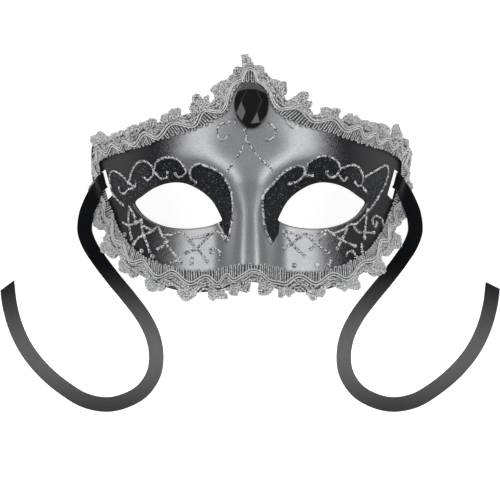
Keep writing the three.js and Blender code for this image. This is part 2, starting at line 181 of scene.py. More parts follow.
# Columns of the wall's section: millimetres out from the hole, part of the way to the edge, and
# depth under the front. The lip of the hole is rounded, and the back is plainer than the front.
FRONT_COLUMNS = 46
BACK_COLUMNS = 14
LIP = [(0, 0.95), (0, 0.65), (0.12, 0.32), (0.4, 0.08)]
LIP_WIDTH = 0.9
BACK_LIP = (0.25, 0, WALL - 0.15)
AROUND_MIDDLE = 76
AROUND_CROWN = 66
AROUND_SIDE = 90
AROUND = AROUND_MIDDLE + AROUND_CROWN + AROUND_SIDE
HOLE_STEPS = 40
TOUCHING = 0.001 * MM


def add_grid(bm, across, up):
    """Adds a grid to a bmesh: its vertices, and where each stands on it, from 0 to 1 both ways"""
    verts = bmesh.ops.create_grid(bm, x_segments=across, y_segments=up, size=0.5)["verts"]
    return verts, np.array([v.co[:2] for v in verts]) + 0.5


def place_all(verts, places):
    for vert, place in zip(verts, places):
        vert.co = place


def add_object(name, data):
    made = bpy.data.objects.new(name, data)
    bpy.context.collection.objects.link(made)
    return made


def finish_mesh(bm, name):
    """The object that a bmesh becomes"""
    mesh = bpy.data.meshes.new(name)
    bm.to_mesh(mesh)
    bm.free()
    return add_object(name, mesh)


def mesh_as_seen(made):
    """The mesh of an object with its modifiers applied, or of a curve with its thickness"""
    bpy.context.view_layer.update()
    return bpy.data.meshes.new_from_object(made.evaluated_get(bpy.context.evaluated_depsgraph_get()))


corner = CORNER_STATION * STEPS_A_STATION
chin = (len(EDGE_STATIONS) - 1) * STEPS_A_STATION
middle_line = np.stack([np.zeros(2), [shell_edge[chin][1], shell_edge[0][1]]], axis=1)
outline = np.vstack([
    evenly(middle_line, AROUND_MIDDLE + 1)[:-1],
    evenly(shell_edge[:corner + 1], AROUND_CROWN + 1)[:-1],
    evenly(shell_edge[corner:chin + 1], AROUND_SIDE + 1)[:-1]])
hole_line = curve_through(EYE_HOLE, HOLE_STEPS, closed=True)
hole = evenly(np.vstack([hole_line, hole_line[:1]]), AROUND + 1)[:-1]

columns = [(out, 0, depth) for out, depth in LIP]
columns += [(LIP_WIDTH, part, 0) for part in np.linspace(0, 1, FRONT_COLUMNS)]
columns += [(LIP_WIDTH, part, WALL) for part in np.linspace(1, 0, BACK_COLUMNS)]
columns.append(BACK_LIP)

bm = bmesh.new()
verts, grid = add_grid(bm, AROUND, len(columns))
step = np.rint(grid[:, 0] * AROUND).astype(int) % AROUND
column = np.rint(grid[:, 1] * len(columns)).astype(int) % len(columns)
out, part, depth = (np.array(row, float)[column] for row in zip(*columns))
spoke = outline[step] - hole[step]
reach = np.linalg.norm(spoke, axis=1)
way = (out + part * (reach - out)) / reach
flat = hole[step] + spoke * way[:, None]
place_all(verts, off_front(flat[:, 0], flat[:, 1], -depth) * MM)
middle_wall = [f for f in bm.faces if all(abs(v.co.x) < TOUCHING for v in f.verts)]
bmesh.ops.delete(bm, geom=middle_wall, context="FACES")
bmesh.ops.remove_doubles(bm, verts=bm.verts, dist=TOUCHING)
bmesh.ops.mirror(bm, geom=bm.verts[:] + bm.edges[:] + bm.faces[:], axis="X", merge_dist=TOUCHING)
bmesh.ops.recalc_face_normals(bm, faces=bm.faces)
shell = finish_mesh(bm, "shell")

# Slot for the ribbon in each temple, by its corners seen from the front. The shell is moulded in one
# pull, so the slot's walls stand upright.
SLOT_CORNERS = [(73, -8.4), (75.7, -10.9), (79.35, 3.4), (76.9, 5.2)]
SLOT_CUT_FROM = -1
SLOT_CUT_TO = 40
SLOT_CORNER_RADIUS = 0.5
SLOT_CORNER_STEPS = 4

bm = bmesh.new()
slot_foot = bm.faces.new([bm.verts.new((x * MM, y * MM, SLOT_CUT_FROM * MM)) for x, y in SLOT_CORNERS])
raised = bmesh.ops.extrude_face_region(bm, geom=[slot_foot])["geom"]
bmesh.ops.translate(bm, vec=(0, 0, (SLOT_CUT_TO - SLOT_CUT_FROM) * MM),
                    verts=[v for v in raised if isinstance(v, bmesh.types.BMVert)])
upright = [e for e in bm.edges if abs(e.verts[0].co.z - e.verts[1].co.z) > MM]
bmesh.ops.bevel(bm, geom=upright, offset=SLOT_CORNER_RADIUS * MM, offset_type="OFFSET",
                segments=SLOT_CORNER_STEPS, profile=0.5, affect="EDGES", material=-1)
bmesh.ops.mirror(bm, geom=bm.verts[:] + bm.edges[:] + bm.faces[:], axis="X", merge_dist=0)
bmesh.ops.recalc_face_normals(bm, faces=bm.faces)
cutter = finish_mesh(bm, "slot_cutter")
cut = shell.modifiers.new("slots", "BOOLEAN")
cut.operation = "DIFFERENCE"
cut.solver = "EXACT"
cut.object = cutter
shell.data = mesh_as_seen(shell)
shell.modifiers.clear()
bpy.data.objects.remove(cutter)
shell.data.shade_smooth()

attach(shell, "root")
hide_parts("mask_shell")

# Outline of the black glitter round each eye, left and right as they were drawn by hand
GLITTER_LEFT = [
    (-74, 2.3), (-72.1, 4.2), (-67.9, 2.1), (-63.7, -2), (-61.2, 4.7), (-57.6, 8.5), (-54.1, 8.4),
    (-51.2, 6.1), (-49.8, 4.2), (-48.3, 8.3), (-43.7, 10.4), (-38.6, 9.8), (-35.3, 7), (-33.3, 3.1),
    (-31.1, 3.1), (-29.6, 5.8), (-26.2, 6.9), (-22.9, 5.8), (-18.4, 4.1), (-14.5, 1.4), (-12.3, -2),
    (-10, -6.5), (-8.9, -13.6), (-8.9, -20.3), (-10.4, -28), (-11.7, -32.4), (-14, -28.4),
    (-15.7, -25.3), (-16.4, -22), (-24, -18), (-36, -14), (-50, -14), (-61.4, -13.1), (-64.6, -14.6),
    (-69.7, -11.3), (-73, -6.8)]
GLITTER_RIGHT = [
    (73.1, 4.1), (72, 7), (65.3, 3.8), (60, 0.6), (58.6, 2.4), (54.6, 6.7), (50.1, 5.9), (46.8, 4.9),
    (44.3, 9.3), (39.2, 11.1), (34.2, 10.1), (30.4, 7.6), (28.3, 3.2), (27.9, 5.1), (24.8, 6),
    (20.4, 4.4), (15.4, 0.7), (11.6, -3.7), (7.9, -7.5), (6.3, -11.9), (6.6, -17.5), (7.2, -23.8),
    (8.8, -30), (11.9, -34.4), (15, -29), (15.6, -22.4), (24, -18), (36, -14), (50, -14),
    (61.4, -13.1), (65, -13), (66.3, -11.9), (68.9, -7.4), (72.1, -1)]


def inside_by(outline_points, places):
    """How far each place is inside a closed outline, in millimetres, and minus how far outside"""
    starts = np.array(outline_points, float)
    ends = np.roll(starts, -1, axis=0)
    nearest = np.full(len(places), 1e9)
    crossings = np.zeros(len(places), int)
    for a, b in zip(starts, ends):
        along = np.clip(((places - a) @ (b - a)) / np.dot(b - a, b - a), 0, 1)
        nearest = np.minimum(nearest, np.linalg.norm(places - a - along[:, None] * (b - a), axis=1))
        if a[1] != b[1]:
            crosses = (a[1] > places[:, 1]) != (b[1] > places[:, 1])
            at = a[0] + (places[:, 1] - a[1]) * (b[0] - a[0]) / (b[1] - a[1])
            crossings += crosses & (places[:, 0] < at)
    return np.where(crossings % 2 == 1, nearest, -nearest)


# The spray doesn't reach the outermost edge or the back, which stay bare
BARE_EDGE = 1.6
BACK_FROM = 1.05
BACK_FULL_OVER = 0.25
# Painted shade along the lower lid of each eye: a darker grey just under the hole, where the shadow of the
# lip falls
LID_SHADE = {"width": 1.2, "from_y": -9.5, "to_y": -12.5}

places = np.array([v.co[:2] for v in shell.data.vertices]) / MM
heights = np.array([v.co.z for v in shell.data.vertices]) / MM
glitter = np.maximum(inside_by(GLITTER_LEFT, places), inside_by(GLITTER_RIGHT, places))
# A few points of the edge and of the hole are enough to measure from
from_edge = inside_by(shell_edge[::6], places)
from_hole = -inside_by(hole[::3], np.abs(places) * [1, 0] + places * [0, 1])
below_front = front_height(places[:, 0], places[:, 1]) - heights
back = np.clip(np.maximum((below_front - BACK_FROM) / BACK_FULL_OVER, BARE_EDGE - from_edge), 0, 1)
lid_shade = np.clip(1 - from_hole / LID_SHADE["width"], 0, 1)
lid_shade *= np.clip((places[:, 1] - LID_SHADE["from_y"]) / (LID_SHADE["to_y"] - LID_SHADE["from_y"]), 0, 1)
for name, values in (("black_glitter", glitter), ("back", back), ("lower_lid_shade", lid_shade)):
    shell.data.attributes.new(name, "FLOAT", "POINT").data.foreach_set("value", values)


def linear(hex_colour):
    """A colour given as sRGB hex, as the linear values that Blender works in"""
    parts = [int(hex_colour[i:i + 2], 16) / 255 for i in (1, 3, 5)]
    return [c / 12.92 if c <= 0.04045 else ((c + 0.055) / 1.055) ** 2.4 for c in parts] + [1]


def set_inputs(node, inputs):
    """Gives each input of a node a value, or a link from the socket that stands for it"""
    for name, value in inputs.items():
        if isinstance(value, bpy.types.NodeSocket):
            node.id_data.links.new(value, node.inputs[name])
        else:
            node.inputs[name].default_value = value


def add_node(tree, kind, inputs, **settings):
    """Adds a shader node with its settings and inputs, and gives back its outputs"""
    made = tree.nodes.new("ShaderNode" + kind)
    for name, value in settings.items():
        setattr(made, name, value)
    set_inputs(made, inputs)
    return made.outputs


def start_material(name):
    """A new material, its node tree and its surface shader"""
    material = bpy.data.materials.new(name)
    material.use_nodes = True
    return material, material.node_tree, material.node_tree.nodes["Principled BSDF"]


# Sprayed car-type silver over black plastic: the silver fades to charcoal at the temples through
# the fine dots of the spray, and a black glitter is brushed round the eyes. Real dots and flakes
# are about 0.1 and 0.2 mm, and both are drawn coarser so that they show.
SPRAY_GRAIN = 0.5 * MM
SPRAY_DRIFT = 16.67 * MM
FLAKE = 0.4 * MM
# The fade runs outwards, lies a little further out at the chin, and is scattered by dots and drift
FADE_FROM = 57.5 * MM
FADE_TO = 75.5 * MM
FADE_LEAN = 0.05
DOT_SCATTER = 45 * MM
DRIFT_SCATTER = 6 * MM
METAL_SHARE = 0.75

paint, tree, surface = start_material("sprayed_silver_paint")
place = add_node(tree, "TexCoord", {})["Object"]
parts = add_node(tree, "SeparateXYZ", {0: place})
side = add_node(tree, "Math", {0: parts["X"]}, operation="ABSOLUTE")
spray = add_node(tree, "TexNoise",
                 {"Vector": place, "Scale": 1 / SPRAY_GRAIN, "Detail": 2, "Roughness": 0.7})
drift = add_node(tree, "TexNoise", {"Vector": place, "Scale": 1 / SPRAY_DRIFT, "Detail": 2})
fade_at = side[0]
for spread, amount in ((parts["Y"], FADE_LEAN), (spray["Fac"], DOT_SCATTER), (drift["Fac"], DRIFT_SCATTER)):
    fade_at = add_node(tree, "Math", {0: spread, 1: amount, 2: fade_at},
                       operation="MULTIPLY_ADD")[0]
fade = add_node(tree, "MapRange", {"Value": fade_at, "From Min": FADE_FROM, "From Max": FADE_TO},
                interpolation_type="SMOOTHSTEP")
dotted = add_node(tree, "MapRange", {"Value": spray["Fac"], "From Min": 0.35, "From Max": 0.65})
# Painted shade: the darker grey along the lower lid of each eye
lid_shade_node = add_node(tree, "Attribute", {}, attribute_name="lower_lid_shade")
lid_shade_share = add_node(tree, "MapRange", {"Value": lid_shade_node["Fac"], "To Max": 0.9},
                     interpolation_type="SMOOTHSTEP")
patch_node = add_node(tree, "Attribute", {}, attribute_name="black_glitter")
ragged = add_node(tree, "Math", {0: spray["Fac"], 1: 0.7, 2: patch_node["Fac"]},
                  operation="MULTIPLY_ADD")
on_patch = add_node(tree, "MapRange", {"Value": ragged[0], "From Min": 0.3, "From Max": 0.5})
# Black glitter: dark flakes of random tone, and a few painted light grey as painted glints
flakes = add_node(tree, "TexVoronoi", {"Vector": place, "Scale": 1 / FLAKE})
flake_shade = add_node(tree, "SeparateColor", {0: flakes["Color"]})
flake_glint = add_node(tree, "MapRange", {"Value": flake_shade[0], "From Min": 0.945, "From Max": 1})
back_node = add_node(tree, "Attribute", {}, attribute_name="back")
bare = add_node(tree, "MapRange", {"Value": back_node["Fac"], "From Min": 0.1, "From Max": 0.4})
# A Mix node of colours takes its share at 0 and the two colours at 6 and 7, and gives them mixed at 2
silver = add_node(tree, "Mix", {0: dotted[0], 6: linear("#97989a"), 7: linear("#babbbd")},
                  data_type="RGBA")
dark_flake = add_node(tree, "Mix", {0: flake_shade[1], 6: linear("#121315"), 7: linear("#34363a")},
                      data_type="RGBA")
glitter_black = add_node(tree, "Mix", {0: flake_glint[0], 6: dark_flake[2], 7: linear("#92959c")},
                         data_type="RGBA")
# Each coat lies over the one before, the lower lid's painted shade among them, and bare plastic shows where
# the spray doesn't reach
colour = silver[2]
for share, coat in ((fade[0], linear("#29292c")), (lid_shade_share[0], linear("#77777a")),
                    (on_patch[0], glitter_black[2]), (bare[0], linear("#161617"))):
    colour = add_node(tree, "Mix", {0: share, 6: colour, 7: coat}, data_type="RGBA")[2]
metallic = METAL_SHARE
for cover in (fade[0], on_patch[0], bare[0]):
    uncovered = add_node(tree, "Math", {0: 1, 1: cover}, operation="SUBTRACT")
    metallic = add_node(tree, "Math", {0: metallic, 1: uncovered[0]}, operation="MULTIPLY")[0]
rough = add_node(tree, "MapRange", {"Value": on_patch[0], "To Min": 0.36, "To Max": 0.5})
grain = add_node(tree, "Mix", {0: on_patch[0], 2: spray["Fac"], 3: flake_shade[1]},
                 data_type="FLOAT")
relief = add_node(tree, "Bump", {"Height": grain[0], "Strength": 0.16, "Distance": 0.1 * MM})
set_inputs(surface, {"Base Color": colour, "Metallic": metallic, "Roughness": rough[0],
                     "Specular IOR Level": 0.08, "Normal": relief[0]})
shell.data.materials.append(paint)

# Glitter glue
# Lines of clear glue full of silver glitter, drawn by hand from a fine nozzle, so they stand up a
# little, swell and thin, and end in a dot. Each side has its own scrolls and net.
GLUE_LINES = [
    # left temple and brow scrolls
    [(-60.2, -4.4), (-63.7, -2), (-67.9, 2.1), (-72.1, 4.2), (-74, 2.3), (-73, -6.8), (-69.7, -11.3),
     (-66.3, -14.2)],
    [(-59.5, -1.6), (-60.2, -4.4), (-64.2, -5.9), (-66.2, -7.9), (-68.7, -6.4), (-68.9, -3.5)],
    [(-63.9, -3), (-63.1, -0.9), (-61.2, 4.7), (-57.6, 8.5), (-54.1, 8.4), (-51.2, 6.1), (-50.1, 2.7),
     (-51.3, 0.5), (-53.7, -1.1), (-55.7, 1.2)],
    [(-50.1, 3.8), (-48.3, 8.3), (-43.7, 10.4), (-38.6, 9.8), (-35.3, 7), (-33.3, 3.1), (-34.8, 0.9),
     (-37.6, 0.4), (-39, 2.6)],
    [(-49.5, 2.7), (-46.1, -0.4), (-43.3, 0.4), (-42.7, 3.2)],
    [(-27.5, -2.5), (-30.3, -0.8), (-31.1, 3.1), (-29.6, 5.8), (-26.2, 6.9), (-22.9, 5.8), (-18.4, 4.1),
     (-14.5, 1.4), (-12.3, -2), (-10, -6.5), (-8.9, -13.6), (-8.9, -20.3), (-10.6, -29.3),
     (-11.2, -32.6)],
    [(-16.3, -23.7), (-15.7, -25.3), (-14, -28.4), (-11.7, -32)],
    # left net under the eye
    [(-63.3, -14.2), (-64, -22.2), (-62.1, -32.5)],
    [(-67.3, -23.1), (-64, -24.5), (-59.8, -23.4), (-56.3, -21.7)],
    [(-62.8, -16), (-59.8, -21.1)],
    [(-56.8, -22.3), (-56.2, -28), (-54.5, -32.6), (-52.1, -39.4)],
    [(-55.6, -25.2), (-51.5, -27.5)],
    [(-47.5, -25.2), (-52.1, -28.3), (-55.6, -29.7), (-59.7, -32.6), (-61.5, -35.4)],
    [(-47.5, -25.8), (-45.7, -30.3), (-42.9, -33.2), (-48.6, -37.7)],
    [(-44, -34.3), (-41.1, -37.7), (-37.7, -41.7)],
    [(-45.7, -29.8), (-41.1, -29.8), (-35.5, -28.6), (-32.6, -31.5), (-25.8, -30.9), (-20.2, -29.2),
     (-16.2, -28.2), (-12.3, -33.5)],
    [(-20.2, -29.4), (-25.8, -34.9), (-28.1, -37.1), (-33.7, -39.4)],
    [(-32.6, -32), (-28.1, -36.6), (-21.9, -43.9)],
    [(-16.2, -43.3), (-15.6, -39.4), (-17.4, -36.9), (-20.8, -37.7), (-19.6, -39.9)],
    [(-41.4, -44.6), (-38.4, -43.6), (-35.6, -44.4)],
    [(-30.2, -41.4), (-30.4, -45.6)],
    # right nose side and brow scrolls
    [(11.9, -35), (8.8, -30), (7.2, -23.8), (6.6, -17.5), (6.3, -11.9), (7.9, -7.5), (11.6, -3.7),
     (15.4, 0.7), (20.4, 4.4), (24.8, 6), (27.9, 5.1), (28, 2), (26.1, -0.8), (22.9, -2.7), (19.8, -3)],
    [(28.6, 1.4), (33, 1.1)],
    [(28.6, 2.6), (30.4, 7.6), (34.2, 10.1), (39.2, 11.1), (44.3, 9.3), (46.6, 5.9), (45.6, 2.1),
     (42.5, 0.2), (39.6, 2.1), (40.2, 3.6)],
    [(46.9, 4.7), (50.1, 5.9), (54.6, 6.7), (58, 3.6), (59, -0.7), (57.8, -3.9), (55.4, -3.3),
     (54.4, -1.5)],
    [(46.3, 1.5), (48.9, -1.6), (50.8, 0.4)],
    [(58.7, -4.2), (60.8, -7)],
    [(60, 0.6), (65.3, 3.8), (72, 7), (73.1, 4.1), (72.1, -1), (68.9, -7.4), (66.3, -11.9),
     (62.3, -17.1), (55, -24.2), (52.3, -24.2), (49.1, -26.8), (42.7, -28.7), (40.7, -27.4),
     (33.1, -30), (28.7, -29.3), (25.6, -30.3), (22.4, -29.3), (17.3, -27.5)],
    # right net under the eye
    [(17.3, -28.1), (21.7, -34.4), (28.7, -41.3)],
    [(28.1, -29.3), (21.7, -34.4), (17.3, -37.2)],
    [(29.3, -30), (34.4, -34.4), (41.4, -39.4)],
    [(39.5, -28.7), (35.6, -33.7), (31.2, -37.5)],
    [(42, -28.7), (47.8, -32.5), (55.6, -35.9)],
    [(51, -26.1), (47.8, -32.5), (44.9, -37.5)],
    [(53.7, -24.2), (56.3, -28), (60.3, -28.6), (65.6, -28.6)],
    [(61.9, -15.8), (61, -22.2), (59.9, -31.8)],
    [(58.6, -34.3), (58.9, -39.4)],
    [(71, -26), (69.7, -21.5), (66.3, -19.6), (64.3, -22.2), (66.3, -25.3), (67, -22.8)],
    [(50.3, -41.3), (51, -38.8), (54.3, -38.8), (55.5, -41.9)],
    # forehead
    [(-2.5, 24.3), (-2.3, 22.5), (-2, 19.6)],
    [(-2, 19.6), (-2.9, 17.1), (-6.9, 9.8), (-12.1, 2.7)],
    [(-2, 19.6), (-0.3, 17.1), (4.3, 10.5), (12.9, 2.7)],
    [(-6.9, 27.2), (-8.7, 29.8), (-11.9, 28), (-15.5, 27.2), (-17, 23.2), (-15.5, 19.5), (-13.4, 19.2),
     (-11.2, 21.7)],
    [(9.5, 28), (12, 26.5), (13.4, 23.9), (12.3, 21), (9.8, 19.2), (8, 19.2)]]
# Dots where the nozzle rested
GLUE_DOTS = [
    (-56.7, -38.3), (-66.3, -29.7), (-50.9, -41.1), (23, -45.7),
    (35, -45.7), (42, -42.6), (41.5, -45.2), (-2.5, 24.3), (-60, -23.2), (-37.7, -42), (-43.9, -34)]
GLUE_DOT_RADIUS = 0.75
GLUE_STEP = 0.45
GLUE_RADIUS = 0.58
GLUE_SPREAD = 0.35
GLUE_END_SWELL = 1.5
NET_BELOW = -14
NET_WIDER = 1.2
GLUE_CURVE_STEPS = 12
GLUE_WANDER = 0.14
GLUE_LIFT = 0.12
GLUE_DOT_LIFT = 0.2
GLUE_DOT_WIDTH = 1.2
GLUE_DOT_STEPS = 6
THREAD_SIDES = 6


def threads(name, lines, radius, sides):
    """Round threads along lines of points in metres; each line is its points and their widths"""
    data = bpy.data.curves.new(name, "CURVE")
    data.dimensions = "3D"
    data.bevel_depth = radius
    data.bevel_resolution = sides // 2 - 2
    data.use_fill_caps = True
    for points, widths in lines:
        spline = data.splines.new("POLY")
        spline.points.add(len(points) - 1)
        spline.points.foreach_set("co", np.column_stack([points, np.ones(len(points))]).ravel())
        spline.points.foreach_set("radius", widths)
    curve = add_object(name, data)
    mesh = mesh_as_seen(curve)
    mesh.name = name
    bpy.data.objects.remove(curve)
    mesh.shade_smooth()
    return add_object(name, mesh)


chance = random.Random(11)
glue_lines = []
for line in GLUE_LINES:
    smooth = curve_through(line, GLUE_CURVE_STEPS, closed=False)
    smooth = evenly(smooth, max(int(lengths_along(smooth)[-1] / GLUE_STEP), 4))
    wander = np.array([[chance.uniform(-GLUE_WANDER, GLUE_WANDER) for _ in range(2)] for _ in smooth])
    widths = [1 + chance.uniform(-GLUE_SPREAD, GLUE_SPREAD) for _ in smooth]
    widths[-3:] = [GLUE_END_SWELL] * 3
    if line[0][1] < NET_BELOW:
        widths = [width * NET_WIDER for width in widths]
    flat = smooth + wander
    glue_lines.append((off_front(flat[:, 0], flat[:, 1], GLUE_LIFT) * MM, widths))
for x, y in GLUE_DOTS:
    angle = np.arange(GLUE_DOT_STEPS + 1) * 2 * np.pi / GLUE_DOT_STEPS
    flat = np.column_stack([x + np.cos(angle) * GLUE_DOT_RADIUS, y + np.sin(angle) * GLUE_DOT_RADIUS])
    widths = np.full(len(flat), GLUE_DOT_WIDTH)
    glue_lines.append((off_front(flat[:, 0], flat[:, 1], GLUE_DOT_LIFT) * MM, widths))
glue = threads("glitter_glue", glue_lines, GLUE_RADIUS * MM, THREAD_SIDES)
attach(glue, "root")

# Clear PVA glue packed with silver polyester glitter. Each flake is painted white, grey or dark at random:
# painted glints and shade for how it catches the light as it lies.
# The flakes are drawn at 0.6 mm, about three times their size, so that they show.
GLUE_FLAKE = 0.6 * MM

glue_material, tree, surface = start_material("silver_glitter_glue")
place = add_node(tree, "TexCoord", {})["Object"]
flakes = add_node(tree, "TexVoronoi", {"Vector": place, "Scale": 1 / GLUE_FLAKE})
shade = add_node(tree, "SeparateColor", {0: flakes["Color"]})
lit = add_node(tree, "MapRange", {"Value": shade[0], "From Min": 0.3, "From Max": 0.7})
flake_glints = add_node(tree, "Mix", {0: lit[0], 6: linear("#4c4d50"), 7: linear("#ffffff")},
                        data_type="RGBA")
relief = add_node(tree, "Bump", {"Height": shade[1], "Strength": 0.6, "Distance": 0.2 * MM})
set_inputs(surface, {"Base Color": flake_glints[2], "Metallic": 0.35, "Roughness": 0.35,
                     "Normal": relief[0]})
glue.data.materials.append(glue_material)

# Braid
# Lace braid of silver metallised thread, glued on top of the edge all round. From its inner edge
# out it has a comb of loops, a wave of two smooth cords, rows of beaded thread that fill the
# hollows of the wave, and fans of nested loops on its outer side, pulled uneven by the gluing.
LIFT = 0.6
BRAID_WIDTH = 13.5
BRAID_NECK = 8.9
TIP_OVERHANG = 4
NECK_OVERHANG = 0.4
BRAID_DROOP = 0.45
OFF_FLOOR = 0.7
# Its ends meet at the left shoulder, where the threads lap over a little so that no line shows
SPLICE = {"at": 551.2, "lap": 0.4}
# Hollows and crests of the wave of cords in turn: lengths along the braid from the crown by the
# right-hand side, and how far each lies from the inner edge
WAVE = ([0, 2, 5.5, 13, 18, 23.5, 29, 36, 47, 55, 65, 72, 80, 88, 95, 103, 110, 117, 123, 130, 137,
         144, 151, 158, 166, 174, 182, 190, 197.5, 208.5, 220, 231.5, 241.5, 251, 260, 269.4, 278.6,
         287.4, 296.9, 302.6, 308.5, 315.9, 324.3, 334.1, 344.3, 355.3, 364.8, 376.3, 386.8, 398.8,
         408.8, 416.8, 424.8, 432.8, 439.8, 448.8, 458.8, 466.8, 473.8, 480.3, 486.8, 495.8, 507.3,
         513.3, 525.3, 533.3, 542.3, 548.5, 553, 558.7, 563.5, 568, 573.2, 576.7, 579.8],
        [5.3, 5, -0.2, 0.2, 1.2, 0.7, 1.5, 8.2, 4.4, 8.4, 4.5, 8, 4, 7, 3.4, 6.6, 3, 6.2, 2.4, 5.6,
         2, 6, 2, 6, 2, 5.6, 2, 5.6, 2, 6.3, 3.2, 6.8, 2.3, 5.1, 1.4, 6, 6.5, 2.6, 6.6, 3.4, 6, 1.8,
         4.8, 0.7, 5, 0.9, 5.3, 1.1, 4.3, 0.4, 4.3, 0.8, 4, 0.6, 3.6, 0.6, 4.4, 0.8, 3.8, 0.8, 3.8,
         0.8, 4.6, 0.6, 5.5, 0.9, 6, 0.2, 0.3, 1.5, 2, 1.5, 0.6, 5, 5.3])
# Where the comb's loops end, and where the rows end at the foot of the fans
COMB_EDGE = ([0, 40, 55, 95, 120, 200, 296.8, 346.8, 416.8, 446.8, 516.8, 547, 554, 566, 572, 579.8],
             [-1, 0.2, 1.3, 1.3, 0.2, -0.2, -0.6, -1.5, -1.5, -0.6, -0.6, -0.8, -1.7, -1.5, -0.8, -1])
ROWS_EDGE = ([0, 44, 58, 75, 84, 92, 106, 118, 422.8, 429.8, 448.8, 454.8, 579.8],
             [8.1, 8.3, 10.2, 12.6, 11.4, 10.4, 9.2, 8.1, 8.1, 5, 5, 8.1, 8.1])

ring = np.vstack([shell_edge, shell_edge[:1]])
ring_inner = np.vstack([braid_inner, braid_inner[:1]])
edge_in_space = off_front(ring[:, 0], ring[:, 1], 0)
inner_in_space = off_front(ring_inner[:, 0], ring_inner[:, 1], 0)
edge_lengths = lengths_along(edge_in_space)
BRAID_LENGTH = edge_lengths[-1]
on_shell = np.linalg.norm(edge_in_space - inner_in_space, axis=1)


def on_braid(along, across, lift):
    """Points in metres from lengths along the braid, across it from its inner edge, and off the shell

    The fans always stand past the shell's edge, and there they hang less steeply than it would.
    """
    along = np.asarray(along, float) % BRAID_LENGTH
    across = np.asarray(across, float)
    table = np.column_stack([ring, ring_inner, on_shell])
    ex, ey, ix, iy, width = (np.interp(along, edge_lengths, table[:, k]) for k in range(5))
    neck = width + np.maximum(BRAID_NECK - width, NECK_OVERHANG)
    tip = width + np.maximum(BRAID_WIDTH - width, TIP_OVERHANG)
    past_neck = neck + (across - BRAID_NECK) / (BRAID_WIDTH - BRAID_NECK) * (tip - neck)
    share = np.where(across < BRAID_NECK, across / BRAID_NECK * neck, past_neck) / width
    points = off_front(ix + (ex - ix) * share, iy + (ey - iy) * share, lift)
    edge_height = off_front(ex, ey, lift)[..., 2]
    drooped = edge_height + (points[..., 2] - edge_height) * BRAID_DROOP
    points[..., 2] = np.maximum(np.where(share > 1, drooped, points[..., 2]), OFF_FLOOR)
    return points * MM


def wave(along):
    return ease(WAVE, np.asarray(along) % BRAID_LENGTH)


